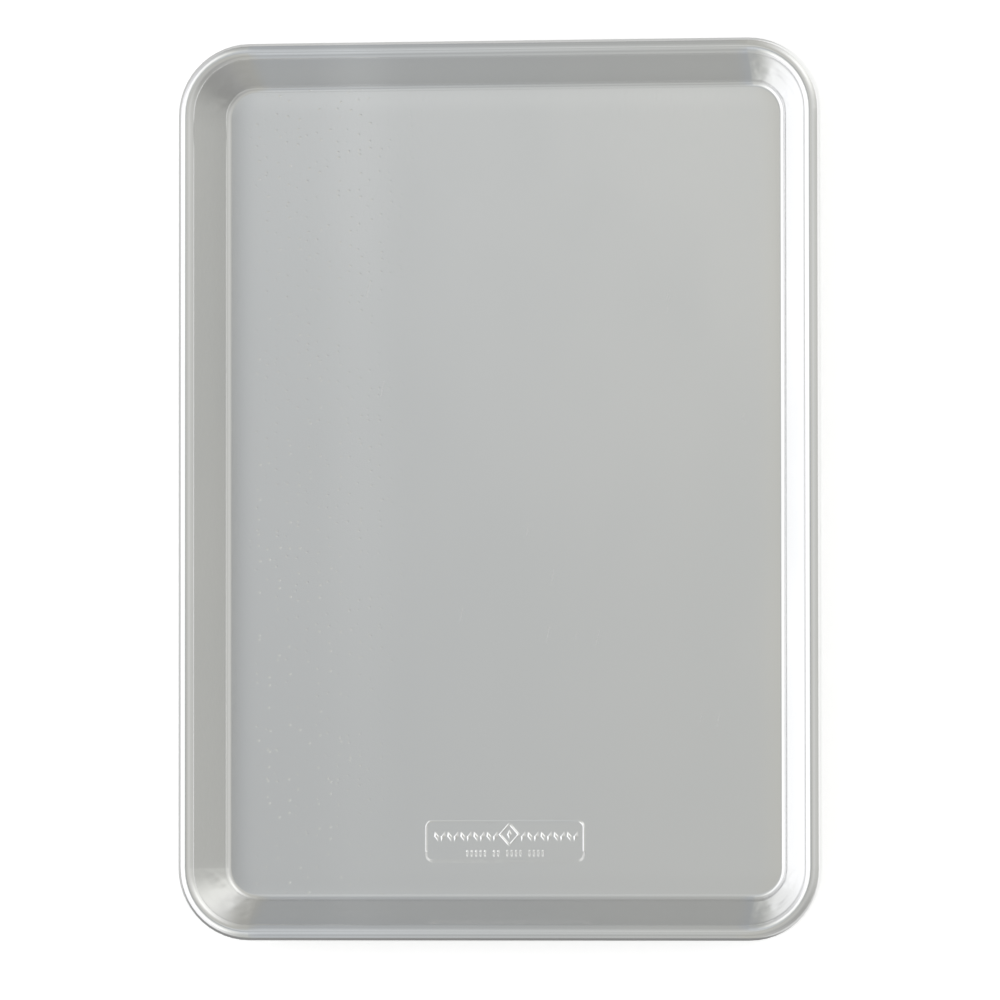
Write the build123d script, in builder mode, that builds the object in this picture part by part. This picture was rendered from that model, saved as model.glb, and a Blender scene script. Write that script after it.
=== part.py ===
from build123d import *
import os
from math import acos, cos, degrees, radians, sin, tan

# A shallow baking pan drawn from one aluminium sheet, its rim rolled outward round a steel wire.
# Lengths are in millimetres and angles in degrees.
# The pan's width runs along X, its length along Y and its height along Z.
# The origin is the middle of the flat underside.

# The pan as a whole, measured over the rolled rim
pan_length = 400.05
pan_width = 288.0
pan_height = 25.4
pan_corner_radius = 32.0

# The pressed sheet
sheet_thickness = 1.0
wall_angle = 64.0
floor_bend_radius = 3.0

# The rolled rim and the wire inside it
wire_diameter = 5.7
wire_clearance = 0.15
hem_gap = 1.0
wire_end_gap = 1.5

# The roll is a round bead that closes on the wire
bead_radius = sheet_thickness + wire_clearance + wire_diameter / 2
bead_x = pan_width / 2 - bead_radius
bead_y = pan_length / 2 - bead_radius
bead_z = pan_height - bead_radius
bead_corner_radius = pan_corner_radius - bead_radius

# The wall's baking face leaves the bead at a tangent and meets the floor in a round bend
wall_sine = sin(radians(wall_angle))
wall_cosine = cos(radians(wall_angle))
wall_top_inset = bead_radius * wall_sine
wall_top_rise = bead_radius * wall_cosine
bend_run = floor_bend_radius * wall_sine
bend_rise = floor_bend_radius * (1 - wall_cosine)
wall_rise = bead_z + wall_top_rise - sheet_thickness - bend_rise
wall_run = wall_rise / tan(radians(wall_angle))

# The flat floor ends where the bend begins
floor_inset = wall_top_inset + wall_run + bend_run
floor_half_width = bead_x - floor_inset
floor_half_length = bead_y - floor_inset
floor_corner_radius = bead_corner_radius - floor_inset

# The roll turns until its cut edge faces the wall's outer face, a narrow groove away from it
bead_bore_radius = bead_radius - sheet_thickness
curl_turn = 360 - degrees(acos((bead_bore_radius - hem_gap) / bead_radius))

os.makedirs("parts", exist_ok=True)

# The rim's section is drawn across one long side, seen from the front, about the bead's centre
rim_section = Plane(origin=(bead_x, 0, bead_z), x_dir=(1, 0, 0), z_dir=(0, -1, 0))
floor_top = sheet_thickness - bead_z


def draw_sheet_face(depth):
    """Draws one face of the sheet, from the floor up the wall and over the wire to the hem.

    The baking face has no depth, and the underside lies one sheet thickness deep."""
    roll_radius = bead_radius - depth
    bend = JernArc((-floor_inset, floor_top - depth), (1, 0), floor_bend_radius + depth, wall_angle)
    wall = Line(bend @ 1, (-roll_radius * wall_sine, roll_radius * wall_cosine))
    curl = JernArc(wall @ 1, wall % 1, roll_radius, -curl_turn)
    return bend @ 0, curl @ 1


# The sheet: a flat floor inside a rim, whose one section is carried round a corner and mirrored twice
with BuildPart() as pan_shell:
    with BuildLine(Plane.XY.offset(bead_z)) as quarter_route:
        FilletPolyline((bead_x, 0), (bead_x, bead_y), (0, bead_y), radius=bead_corner_radius)
    with BuildSketch(rim_section):
        with BuildLine():
            baking_start, baking_hem = draw_sheet_face(0)
            under_start, under_hem = draw_sheet_face(sheet_thickness)
            Line(baking_start, under_start)
            Line(baking_hem, under_hem)
        make_face()
    sweep(path=quarter_route.line)
    mirror(about=Plane.XZ)
    mirror(about=Plane.YZ)
    with BuildSketch():
        RectangleRounded(2 * floor_half_width, 2 * floor_half_length, floor_corner_radius)
    extrude(amount=sheet_thickness)
pan_shell.part.label = "pan_shell"

# The wire's round section is drawn at its first end, and its seam lies towards the pan's middle
wire_section = Plane(origin=(bead_x, wire_end_gap / 2, bead_z), x_dir=(-1, 0, 0), z_dir=(0, 1, 0))

# The wire: one round bar bent into a loop inside the roll, its ends butted with a small gap
with BuildPart() as rim_wire:
    with BuildLine(Plane.XY.offset(bead_z)) as wire_route:
        FilletPolyline(
            (bead_x, wire_end_gap / 2),
            (bead_x, bead_y),
            (-bead_x, bead_y),
            (-bead_x, -bead_y),
            (bead_x, -bead_y),
            (bead_x, -wire_end_gap / 2),
            radius=bead_corner_radius,
        )
    with BuildSketch(wire_section):
        Circle(wire_diameter / 2)
    sweep(path=wire_route.line)
rim_wire.part.label = "rim_wire"

export_step(pan_shell.part, "parts/pan_shell.step")
export_step(rim_wire.part, "parts/rim_wire.step")

print("outside", pan_width, "x", pan_length, "x", pan_height)
print("flat floor", round(2 * floor_half_width, 2), "x", round(2 * floor_half_length, 2))
print("bead diameter", 2 * bead_radius, "curl", round(curl_turn, 1), "degrees")
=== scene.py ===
from math import cos, pi, radians, sin, tan

import bmesh
import bpy
from mathutils import Matrix, Vector


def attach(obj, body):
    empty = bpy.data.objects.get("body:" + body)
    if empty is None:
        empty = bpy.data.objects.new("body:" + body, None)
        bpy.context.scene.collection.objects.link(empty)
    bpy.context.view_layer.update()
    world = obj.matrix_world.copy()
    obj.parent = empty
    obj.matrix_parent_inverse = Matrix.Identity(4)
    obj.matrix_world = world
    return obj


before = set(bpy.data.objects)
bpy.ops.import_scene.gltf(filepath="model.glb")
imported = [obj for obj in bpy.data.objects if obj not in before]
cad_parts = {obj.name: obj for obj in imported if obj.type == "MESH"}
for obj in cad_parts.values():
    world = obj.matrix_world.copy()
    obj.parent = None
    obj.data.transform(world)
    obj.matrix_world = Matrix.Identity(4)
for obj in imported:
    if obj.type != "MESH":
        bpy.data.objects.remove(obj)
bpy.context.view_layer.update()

mm = 0.001  # the pan's sizes are given in millimetres, Blender's in metres


class Socket:
    # an output of a node that can be used in sums like a number
    def __init__(self, nodes, output):
        self.nodes, self.output = nodes, output

    def __add__(self, other): return self.nodes.maths("ADD", self, other)
    def __radd__(self, other): return self.nodes.maths("ADD", other, self)
    def __sub__(self, other): return self.nodes.maths("SUBTRACT", self, other)
    def __rsub__(self, other): return self.nodes.maths("SUBTRACT", other, self)
    def __mul__(self, other): return self.nodes.maths("MULTIPLY", self, other)
    def __rmul__(self, other): return self.nodes.maths("MULTIPLY", other, self)
    def __truediv__(self, other): return self.nodes.maths("DIVIDE", self, other)
    def __rtruediv__(self, other): return self.nodes.maths("DIVIDE", other, self)
    def __pow__(self, other): return self.nodes.maths("POWER", self, other)
    def __rpow__(self, other): return self.nodes.maths("POWER", other, self)

    def between(self, low, high):
        # 0 below low, 1 above high, smooth in between
        return self.nodes.add("ShaderNodeMapRange", {"interpolation_type": "SMOOTHSTEP"},
                              {"Value": self, "From Min": low, "From Max": high})

    def part(self, name):
        return Socket(self.nodes, self.output.node.outputs[name])

    def axes(self):
        # the X, Y and Z of a vector
        split = self.nodes.add("ShaderNodeSeparateXYZ", {}, [self])
        return [split.part(axis) for axis in "XYZ"]


class Nodes:
    # one node tree, emptied and then filled
    def __init__(self, owner):
        owner.use_nodes = True
        self.tree = owner.node_tree
        self.tree.nodes.clear()

    def add(self, nodeType, settings={}, values={}):
        # values are a list in the sockets' order, or a dictionary by the sockets' names or numbers
        node = self.tree.nodes.new(nodeType)
        for name, value in settings.items():
            if name == "stops":
                ramp = node.color_ramp
                while len(ramp.elements) < len(value):
                    ramp.elements.new(0.5)
                for element, (place, colour) in zip(ramp.elements, value):
                    element.position, element.color = place, colour
            elif name == "curve":
                node.color_ramp.interpolation = value
            else:
                setattr(node, name, value)
        pairs = enumerate(values) if isinstance(values, list) else values.items()
        for key, value in pairs:
            target = node.inputs[key]
            if isinstance(value, Socket):
                self.tree.links.new(value.output, target)
            else:
                target.default_value = value
        shown = [output for output in node.outputs if output.enabled]
        return Socket(self, shown[0]) if shown else None

    def maths(self, operation, *values):
        return self.add("ShaderNodeMath", {"operation": operation}, list(values))

    def place(self):
        return self.add("ShaderNodeTexCoord").part("Object")

    def noise(self, vector, scale, detail=2.0, roughness=0.5):
        # the scale is one number, or one for each axis
        if isinstance(scale, tuple):
            vector = self.add("ShaderNodeVectorMath", {"operation": "MULTIPLY"}, [vector, scale])
            scale = 1.0
        return self.add("ShaderNodeTexNoise", {}, {
            "Vector": vector, "Scale": scale, "Detail": detail, "Roughness": roughness})

    def mixColour(self, factor, first, second, blend="MIX"):
        # sockets 0, 6 and 7 are the factor and the two colours
        return self.add("ShaderNodeMix", {"data_type": "RGBA", "blend_type": blend, "clamp_factor": True},
                        {0: factor, 6: first, 7: second})


def newMaterial(name):
    material = bpy.data.materials.new(name)
    return material, Nodes(material)


def giveMaterial(piece, material):
    piece.data.materials.clear()
    piece.data.materials.append(material)


def newObject(name, build, closed=False):
    # an object whose mesh is filled by the function build
    bm = bmesh.new()
    build(bm)
    if closed:
        bmesh.ops.recalc_face_normals(bm, faces=bm.faces)
    mesh = bpy.data.meshes.new(name)
    bm.to_mesh(mesh)
    bm.free()
    made = bpy.data.objects.new(name, mesh)
    bpy.context.scene.collection.objects.link(made)
    return made


def roundedPath(middle, width, depth, radius, steps=8):
    # the outline of a rectangle with round corners, counterclockwise
    path = []
    for sx, sy, start in ((1, 1, 0), (-1, 1, 90), (-1, -1, 180), (1, -1, 270)):
        cx, cy = middle[0] + sx * (width / 2 - radius), middle[1] + sy * (depth / 2 - radius)
        for k in range(steps + 1):
            angle = radians(start + 90 * k / steps)
            path.append(Vector((cx + radius * cos(angle), cy + radius * sin(angle))))
    return path


# The camera stands above the pan, a little to the front and to the right

camera = {
    "distance": 4.0, "tiltRight": 8.0, "tiltFront": 2.11, "roll": -0.047,
    "lens": 322.44, "aim": (-2.22 * mm, -3.74 * mm, 0.0), "farthest": 50.0,
}


def placeCamera():
    back = Vector((tan(radians(camera["tiltRight"])), -tan(radians(camera["tiltFront"])), 1.0)).normalized()
    right = Vector((0, 1, 0)).cross(back).normalized()
    right = Matrix.Rotation(radians(camera["roll"]), 3, back) @ right
    turned = Matrix((right, back.cross(right), back)).transposed().to_4x4()
    view = bpy.data.objects.new("camera", bpy.data.cameras.new("camera"))
    view.matrix_world = Matrix.Translation(Vector(camera["aim"]) + back * camera["distance"]) @ turned
    view.data.lens = camera["lens"]
    view.data.clip_end = camera["farthest"]
    bpy.context.scene.collection.objects.link(view)
    bpy.context.scene.camera = view


placeCamera()
print("camera placed")

# The studio: soft light from all round, brightest on the left

studio = {
    # the light's strength at each height above the table, in degrees, on these bearings from the right (+X)
    # round by the back
    "bearings": (0, 45, 102, 135, 180, 225, 258, 315),
    "rings": {
        10: (0.63, 1.08, 0.45, 0.75, 1.27, 1.10, 0.58, 0.48),
        28: (0.66, 1.22, 0.50, 0.80, 1.36, 1.15, 0.58, 0.46),
        42: (0.67, 1.34, 0.47, 1.27, 1.69, 1.57, 0.48, 0.45),
        55: (0.74, 1.04, 0.54, 1.19, 1.36, 1.25, 0.57, 0.53),
        68: (0.73, 0.83, 0.55, 0.81, 0.85, 0.88, 0.60, 0.60),
        74: (0.71, 0.75, 0.60, 0.59, 0.26, 0.66, 0.60, 0.62),
        80: (0.68, 0.71, 0.63, 0.83, 0.54, 0.60, 0.58, 0.62),
        85: (0.64, 0.67, 0.61, 0.73, 0.58, 0.55, 0.56, 0.60),
        90: (0.56, 0.56, 0.56, 0.56, 0.56, 0.56, 0.56, 0.56),
    },
    # the light's tint, by how far it comes from the left (-1) or from the right (1)
    "tints": (
        (-0.8, (1.0, 1.0, 1.025, 1)), (-0.42, (0.995, 1.0, 0.995, 1)), (-0.3, (0.99, 1.0, 0.965, 1)),
        (-0.23, (0.975, 1.0, 1.0, 1)), (-0.17, (0.955, 1.0, 1.06, 1)), (-0.145, (0.97, 1.0, 1.015, 1)),
        (-0.12, (0.99, 1.0, 0.975, 1)), (-0.085, (1.005, 1.0, 0.94, 1)),
        (0.3, (1.0, 1.0, 0.985, 1)), (0.8, (0.997, 1.0, 0.965, 1)),
    ),
}


def lightAround(n):
    # the light from each direction: a ramp round each ring, the rings mixed by height, and the whole tinted
    direction = n.add("ShaderNodeTexCoord").part("Generated")
    x, y, z = direction.axes()
    height = n.maths("ARCSINE", z) * (180 / pi)
    turn = n.maths("FRACT", n.maths("ARCTAN2", y, x) / (2 * pi) + 1.0)
    light, before = None, None
    for ring, values in studio["rings"].items():
        stops = [(bearing / 360, (value, value, value, 1))
                 for bearing, value in zip(studio["bearings"], values)]
        stops.append((1.0, stops[0][1]))
        level = n.add("ShaderNodeValToRGB", {"stops": stops, "curve": "EASE"}, [turn])
        if light is None:
            light = level
        else:
            share = n.add("ShaderNodeMapRange", {}, {"Value": height, "From Min": before, "From Max": ring})
            light = n.mixColour(share, light, level)
        before = ring
    stops = [((lean + 1) / 2, colour) for lean, colour in studio["tints"]]
    tint = n.add("ShaderNodeValToRGB", {"stops": stops}, [x * 0.5 + 0.5])
    return n.mixColour(1.0, light, tint, "MULTIPLY")


def lightStudio():
    world = bpy.context.scene.world or bpy.data.worlds.new("studio")
    bpy.context.scene.world = world
    n = Nodes(world)
    rays = n.add("ShaderNodeLightPath")
    soft = n.add("ShaderNodeBackground", {}, {"Color": lightAround(n), "Strength": 1.0})
    white = n.add("ShaderNodeBackground", {}, {"Color": (1, 1, 1, 1), "Strength": 1.0})
    mixed = n.add("ShaderNodeMixShader", {}, [rays.part("Is Camera Ray"), soft, white])
    n.add("ShaderNodeOutputWorld", {}, {"Surface": mixed})


lightStudio()
print("studio lit")

# The table: pale card, just below the pan

card = {
    "reach": 7.0, "drop": 0.2 * mm,
    # it is open just inside the pan's flat underside, which is lit through it in views from below
    "opening": (246.4 * mm, 358.4 * mm), "openingCorner": 11.2 * mm,
    "colour": (0.86, 0.86, 0.86, 1), "fibreColour": (0.8, 0.8, 0.8, 1), "fibres": 900, "fibreShare": 0.1,
    "roughness": 0.9, "gloss": 0.1, "glow": (0.5, 0.5, 0.5, 1),
    # the pan mirrors it with painted shade, darker in front of the first pair of places, and with painted
    # light, brighter to the right of the second
    "paintedShadeFade": (-225 * mm, -190 * mm), "paintedShadeColour": (0.38, 0.38, 0.38, 1),
    "paintedGlowFade": (120 * mm, 150 * mm), "paintedGlowShare": 0.9,
}


def tableMaterial():
    material, n = newMaterial("white table")
    rays, place = n.add("ShaderNodeLightPath"), n.place()
    x, y, _ = place.axes()
    mirrored = rays.part("Is Glossy Ray")
    # painted shade: glossy rays see the table darker in front, a shade that the pan's front rim mirrors
    paintedShadeInFront = mirrored * (1 - y.between(*card["paintedShadeFade"]))
    # painted light: glossy rays see the table glowing to the right, a bright line that the pan's right rim
    # mirrors
    paintedGlowOnRight = mirrored * x.between(*card["paintedGlowFade"]) * card["paintedGlowShare"]
    glowing = n.maths("MAXIMUM", rays.part("Is Camera Ray"), paintedGlowOnRight)
    fibres = n.noise(place, card["fibres"], 3.0)
    colour = n.mixColour(fibres * card["fibreShare"], card["colour"], card["fibreColour"])
    face = n.add("ShaderNodeBsdfPrincipled", {}, {
        "Base Color": n.mixColour(paintedShadeInFront, colour, card["paintedShadeColour"]),
        "Roughness": card["roughness"], "Specular IOR Level": card["gloss"],
        "Emission Color": n.mixColour(glowing, (0, 0, 0, 1), card["glow"]), "Emission Strength": 1.0})
    # from below, the table is left out
    clear = n.add("ShaderNodeBsdfTransparent")
    behind = n.add("ShaderNodeNewGeometry").part("Backfacing")
    mixed = n.add("ShaderNodeMixShader", {}, [behind, face, clear])
    n.add("ShaderNodeOutputMaterial", {}, {"Surface": mixed})
    return material


def buildTable(bm):
    # a wide flat ring of faces round the opening
    inside = roundedPath((0, 0), *card["opening"], card["openingCorner"])
    near = [bm.verts.new((*point, 0)) for point in inside]
    far = [bm.verts.new((*point.normalized() * card["reach"], 0)) for point in inside]
    for k in range(len(inside)):
        bm.faces.new((near[k - 1], far[k - 1], far[k], near[k]))


table = newObject("table", buildTable)
table.location.z = -card["drop"]
giveMaterial(table, tableMaterial())
print("table set")

# The pressed sheet: bare aluminium with a fine rolling grain along the pan's length

sheet = {
    # the heights over which the bend's, the walls' and the rim's finish come in, and the bend's ends
    "bendStarts": (1.02 * mm, 1.3 * mm), "bendEnds": (2.4 * mm, 3.6 * mm),
    "wallStarts": (1.2 * mm, 4 * mm), "rimStarts": (15 * mm, 22 * mm),
    "floorRoughness": 0.17, "bendRoughness": 0.10, "wallRoughness": 0.15, "rimRoughness": 0.10,
    # the rolling grain and a cloudy haze, with how many there are to the metre across, along and up
    "grain": (2300, 150, 60), "grainRoughness": 0.05, "grainDepth": 0.0004 * mm, "grainShare": 0.3,
    "haze": (14, 9, 14), "hazeRoughness": 0.05, "hazeRange": (0.35, 0.75), "hazeShare": 0.6,
    "colour": (0.815, 0.815, 0.81, 1), "hazeColour": (0.785, 0.79, 0.79, 1),
    "peelSize": 1.3 * mm, "peelDepth": 0.003 * mm,
    # small pits on the floor's left part: how far apart they are, and the share of them that is left out
    "pitStep": 4.6 * mm, "pitSize": 0.72 * mm, "pitDepth": 0.056 * mm, "pitGaps": 0.2,
    "pitsStart": (-117 * mm, -111 * mm), "pitsEnd": (-90 * mm, -20 * mm), "pitsTop": (1.0 * mm, 1.3 * mm),
    # painted light and shade, a lighter and a darker band along the pan's length: where they lie across the
    # pan, how wide they are and how light, and the share of it that they keep at the pan's front
    "paintedBands": ((-66 * mm, 24 * mm, 0.045), (-126 * mm, 20 * mm, -0.05)),
    "paintedBandFade": (-180 * mm, 160 * mm), "paintedBandShare": 0.4,
    # sparse fine scratches that lean this many degrees, in patches
    "scratches": (1500, 45, 30), "scratchLean": 12, "scratchRange": (0.80, 0.86), "scratchPatches": (0.5, 0.6),
    "scratchRoughness": 0.1, "scratchDepth": 0.002 * mm,
    # each corner is drawn about this point, and the floor's edge runs this far outside it
    "cornerCentre": (112.0 * mm, 168.025 * mm), "floorEdge": 11.725 * mm,
    # the walls turn into the corners little by little, this far before and after their start
    "cornerEase": 8 * mm,
    # the floor rises a little towards its middle, over this distance inside its edge
    "crownWidth": 12 * mm, "crownDepth": 0.18 * mm,
    # faint folds that the drawing leaves up the corners' walls: how many to the radian and to the metre up,
    # and how far into a corner they are at their full depth, as the two distances into it multiplied
    "folds": (2.5, 120, 1), "foldsFull": 60 * mm * mm, "foldDepth": 0.7 * mm,
}


def pitPattern(n, place):
    x, _, height = place.axes()
    spots = n.add("ShaderNodeTexVoronoi", {"voronoi_dimensions": "2D"},
                  {"Vector": place, "Scale": 1 / sheet["pitStep"]})
    kept = n.add("ShaderNodeSeparateColor", {}, [spots.part("Color")]).between(sheet["pitGaps"], 1.0)
    onLeft = x.between(*sheet["pitsStart"]) * (1 - x.between(*sheet["pitsEnd"]))
    onFloor = 1 - height.between(*sheet["pitsTop"])
    return (1 - spots.between(0.0, sheet["pitSize"] / sheet["pitStep"])) * kept * onLeft * onFloor


def scratchPattern(n, place, haze):
    leaning = n.add("ShaderNodeVectorRotate", {"rotation_type": "Z_AXIS"},
                    {"Vector": place, "Angle": radians(sheet["scratchLean"])})
    lines = n.noise(leaning, sheet["scratches"], 0.0).between(*sheet["scratchRange"])
    return lines * haze.between(*sheet["scratchPatches"])


# painted light and shade: the floor's colour is made lighter in one band and darker in another, more towards
# the back
def paintedBandLight(n, place):
    x, y, _ = place.axes()
    change = 0.0
    for middle, reach, strength in sheet["paintedBands"]:
        away = n.maths("ABSOLUTE", x - middle)
        change = (1 - away.between(0.0, reach)) * strength + change
    kept = y.between(*sheet["paintedBandFade"]) * (1 - sheet["paintedBandShare"]) + sheet["paintedBandShare"]
    return change * kept + 1.0


def cornerMeasures(n, place):
    # how far a point lies outside the corners' middles and on which bearing, how far into a corner it is,
    # and how far its face turns ahead of the metal's own line, near a corner's start
    x, y, _ = place.axes()
    past = [n.maths("ABSOLUTE", value) - middle for value, middle in zip((x, y), sheet["cornerCentre"])]
    across, along = [n.maths("MAXIMUM", value, 0.01 * mm) for value in past]  # never nothing, for the bearing
    outward = (across * across + along * along) ** 0.5
    bearing = n.maths("ARCTAN2", along, across)
    fromSide = (along - past[1]) + outward * bearing
    fromEnd = (across - past[0]) + outward * (pi / 2 - bearing)
    early = [n.maths("MAXIMUM", sheet["cornerEase"] - run, 0.0) ** 2 for run in (fromSide, fromEnd)]
    turn = n.maths("SIGN", x * y) * (early[0] - early[1]) / (outward * (4 * sheet["cornerEase"]))
    return outward, bearing, across * along, turn


def sheetMaterial():
    material, n = newMaterial("bare aluminium")
    place = n.place()
    height = place.axes()[2]
    onWall, onRim = height.between(*sheet["wallStarts"]), height.between(*sheet["rimStarts"])
    onBend = height.between(*sheet["bendStarts"]) * (1 - height.between(*sheet["bendEnds"]))
    outward, bearing, inCorner, turn = cornerMeasures(n, place)

    grain = n.noise(place, sheet["grain"], 1.0, 0.6)
    peel = n.noise(place, 1 / sheet["peelSize"], 0.0)
    haze = n.noise(place, sheet["haze"])
    worn = scratchPattern(n, place, haze)

    toEdge = n.add("ShaderNodeMapRange", {}, {
        "Value": outward, "From Min": sheet["floorEdge"] - sheet["crownWidth"], "From Max": sheet["floorEdge"]})
    crown = toEdge ** 3 * (1 - onWall)
    folds = n.noise(n.add("ShaderNodeCombineXYZ", {}, [bearing, height, 0.0]), sheet["folds"], 1.0) - 0.5
    folds = folds * inCorner.between(0.0, sheet["foldsFull"]) * onWall * (1 - onRim)

    roughness = sheet["floorRoughness"] + onWall * (sheet["wallRoughness"] - sheet["floorRoughness"])
    roughness = roughness + onRim * (sheet["rimRoughness"] - sheet["wallRoughness"])
    roughness = roughness + onBend * (sheet["bendRoughness"] - sheet["wallRoughness"])
    roughness = roughness + (grain - 0.5) * sheet["grainRoughness"] + (haze - 0.5) * sheet["hazeRoughness"]
    roughness = roughness + worn * sheet["scratchRoughness"]

    dull = haze.between(*sheet["hazeRange"]) * sheet["hazeShare"] + grain * sheet["grainShare"]
    colour = n.mixColour(dull, sheet["colour"], sheet["hazeColour"])
    # painted light and shade: the bands multiply the sheet's colour
    colour = n.mixColour(1.0, colour, paintedBandLight(n, place), "MULTIPLY")

    relief = (grain * sheet["grainDepth"] + peel * sheet["peelDepth"] + folds * sheet["foldDepth"]
              - crown * sheet["crownDepth"] - pitPattern(n, place) * sheet["pitDepth"]
              - worn * sheet["scratchDepth"])
    facing = n.add("ShaderNodeNewGeometry").part("Normal")
    eased = n.add("ShaderNodeVectorRotate", {"rotation_type": "Z_AXIS"}, {"Vector": facing, "Angle": turn})
    bump = n.add("ShaderNodeBump", {}, {"Height": relief, "Distance": 1.0, "Strength": 1.0, "Normal": eased})
    surface = n.add("ShaderNodeBsdfPrincipled", {}, {
        "Base Color": colour, "Metallic": 1.0, "Roughness": roughness, "Normal": bump})
    n.add("ShaderNodeOutputMaterial", {}, {"Surface": surface})
    return material


aluminium = sheetMaterial()
giveMaterial(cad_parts["pan_shell"], aluminium)
print("sheet finished")

# The wire inside the rim: galvanised steel, dull, with a faint spangle

wire = {
    "colour": (0.60, 0.61, 0.62, 1), "darkColour": (0.47, 0.48, 0.50, 1),
    "spangle": 2.2 * mm, "spangleShare": 0.7, "spangleRoughness": 0.15, "roughness": 0.42,
    "pits": 1800, "pitShare": 0.3, "pitDepth": 0.004 * mm,  # this many pits to the metre
}


def wireMaterial():
    material, n = newMaterial("galvanised steel")
    place = n.place()
    spangle = n.add("ShaderNodeTexVoronoi", {"feature": "F1"}, {"Vector": place, "Scale": 1 / wire["spangle"]})
    patch = n.add("ShaderNodeSeparateColor", {}, [spangle.part("Color")])
    pits = n.noise(place, wire["pits"])
    dark = patch * wire["spangleShare"] + pits * wire["pitShare"]
    bump = n.add("ShaderNodeBump", {}, {"Height": pits * wire["pitDepth"], "Distance": 1.0, "Strength": 1.0})
    surface = n.add("ShaderNodeBsdfPrincipled", {}, {
        "Base Color": n.mixColour(dark, wire["colour"], wire["darkColour"]), "Metallic": 1.0,
        "Roughness": wire["roughness"] + (patch - 0.5) * wire["spangleRoughness"], "Normal": bump})
    n.add("ShaderNodeOutputMaterial", {}, {"Surface": surface})
    return material


giveMaterial(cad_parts["rim_wire"], wireMaterial())
print("wire finished")

# The stamped mark near the front of the floor: a raised frame round a row of lozenges and a row of dots

mark = {
    "middle": (0.05 * mm, -155.9 * mm), "floorTop": 1.0 * mm,
    "width": 70.9 * mm, "depth": 17.9 * mm, "cornerCut": 3.0 * mm,
    "lineWidth": 1.15 * mm, "lineHeight": 0.3 * mm, "sunk": 0.15 * mm,
    # lines that run across the pan rise only to this share of the height, and slanted ones to more
    "flatLines": 0.04, "flatFade": 1.5,
    # the two rows beside the middle lozenge: how many on each side, and how they lean in turn
    "lozengeRow": 2.0 * mm, "lozenge": (2.4 * mm, 4.8 * mm), "lozengeStep": 2.95 * mm, "lozengeStart": 0.7,
    "lozenges": (10, 9), "lean": 0.35,
    "middleLozenge": (8.4 * mm, 9.6 * mm), "middleShift": (2.0 * mm, 0.9 * mm),
    "dotRow": -5.5 * mm, "dot": (1.3 * mm, 3.4 * mm), "dotStep": 2.0 * mm, "dotGroups": (5, 2, 4, 4),
    "dotHeight": 0.24 * mm,
    # a pressed shape's sides: the share of its outline at each share of its height
    "sides": ((1.0, 0.0), (0.92, 0.1), (0.78, 0.42), (0.6, 0.76), (0.4, 0.94), (0.2, 1.0)),
}


def ridgeSection(width, height, steps=10):
    # across a pressed line: closed below the sheet's face, smooth above it
    points = [(-width / 2, -mark["sunk"])]
    for k in range(steps + 1):
        t = k / steps
        points.append(((t - 0.5) * width, height * (0.5 - 0.5 * cos(2 * pi * t))))
    return points + [(width / 2, -mark["sunk"])]


def ridgeRound(bm, path):
    # carries the section along a closed path on the floor
    section = ridgeSection(mark["lineWidth"], mark["lineHeight"])
    rings = []
    for k, point in enumerate(path):
        ahead = (path[(k + 1) % len(path)] - point).normalized()
        behind = (point - path[k - 1]).normalized()
        along = (ahead + behind).normalized()
        out = Vector((along.y, -along.x)) / max(0.5, along.dot(ahead))  # longer where the path bends
        lift = mark["flatLines"] + (1 - mark["flatLines"]) * abs(along.y) ** mark["flatFade"]
        rings.append([])
        for u, v in section:
            z = mark["floorTop"] + v * (lift if v > 0 else 1)
            rings[-1].append(bm.verts.new((point.x + out.x * u, point.y + out.y * u, z)))
    for k, ring in enumerate(rings):
        after = rings[(k + 1) % len(rings)]
        for j in range(len(section)):
            i = (j + 1) % len(section)
            bm.faces.new((ring[j], after[j], after[i], ring[i]))


def mound(bm, x, y, outline, height):
    # a raised shape whose sides round over to a low top
    levels = [(1.0, -mark["sunk"])] + [(share, rise * height) for share, rise in mark["sides"]]
    rings = []
    for share, rise in levels:
        z = mark["floorTop"] + rise
        rings.append([bm.verts.new((x + px * share, y + py * share, z)) for px, py in outline])
    for low, high in zip(rings, rings[1:]):
        for j in range(len(outline)):
            i = (j + 1) % len(outline)
            bm.faces.new((low[j], low[i], high[i], high[j]))
    bm.faces.new(rings[-1])
    bm.faces.new(list(reversed(rings[0])))


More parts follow.
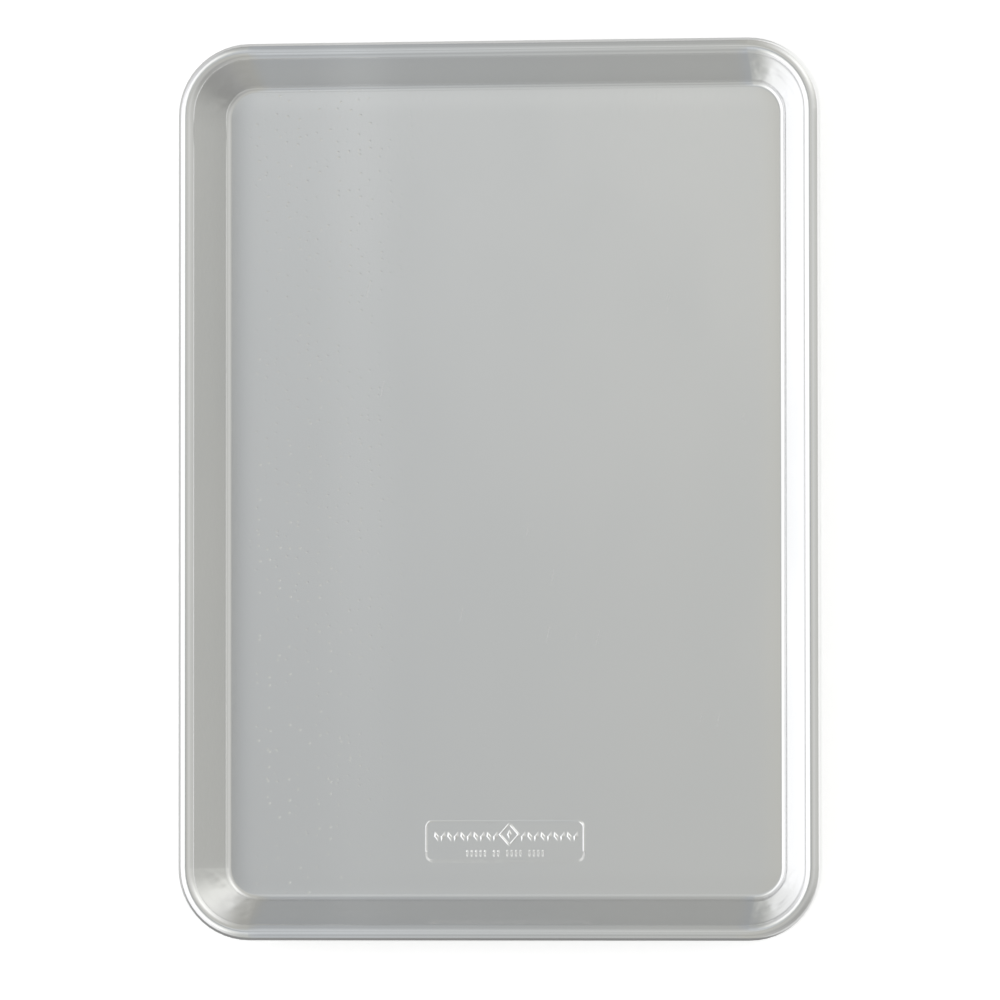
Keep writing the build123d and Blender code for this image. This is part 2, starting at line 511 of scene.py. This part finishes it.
def lozengeOutline(width, depth, lean=0.0, steps=5):
    # the top and bottom corners are moved sideways by the lean
    top = lean * depth / 2
    corners = [(width / 2, 0), (top, depth / 2), (-width / 2, 0), (-top, -depth / 2)]
    points = []
    for k, (ax, ay) in enumerate(corners):
        bx, by = corners[(k + 1) % 4]
        for j in range(steps):
            t = j / steps
            points.append((ax + (bx - ax) * t, ay + (by - ay) * t))
    return points


def ovalOutline(width, depth, steps=16):
    return [(width / 2 * cos(2 * pi * k / steps), depth / 2 * sin(2 * pi * k / steps)) for k in range(steps)]


def buildFrame(bm):
    ridgeRound(bm, roundedPath(mark["middle"], mark["width"], mark["depth"], mark["cornerCut"]))


def buildLozenges(bm):
    row = mark["middle"][1] + mark["lozengeRow"]
    mx, my = mark["middle"][0] + mark["middleShift"][0], row + mark["middleShift"][1]
    for side, count in zip((-1, 1), mark["lozenges"]):
        for k in range(count):
            x = side * (mark["middleLozenge"][0] / 2 + mark["lozengeStep"] * (k + mark["lozengeStart"]))
            outline = lozengeOutline(*mark["lozenge"], mark["lean"] * (-1) ** k)
            mound(bm, mx + x, row, outline, mark["lineHeight"])
    ridgeRound(bm, [Vector((mx + px, my + py)) for px, py in lozengeOutline(*mark["middleLozenge"])])
    mound(bm, mx, my, lozengeOutline(*mark["lozenge"]), mark["lineHeight"])


def buildDots(bm):
    groups, step = mark["dotGroups"], mark["dotStep"]
    x = mark["middle"][0] - (sum(groups) + len(groups) - 2) / 2 * step
    for count in groups:
        for _ in range(count):
            mound(bm, x, mark["middle"][1] + mark["dotRow"], ovalOutline(*mark["dot"]), mark["dotHeight"])
            x += step
        x += step  # a gap as wide as one dot's step


for name, build in (("mark_frame", buildFrame), ("mark_lozenges", buildLozenges), ("mark_dots", buildDots)):
    piece = newObject(name, build, closed=True)
    piece.data.polygons.foreach_set("use_smooth", [True] * len(piece.data.polygons))
    giveMaterial(piece, aluminium)
    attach(piece, "root")
print("mark pressed")

bpy.context.scene.view_settings.view_transform = "Standard"
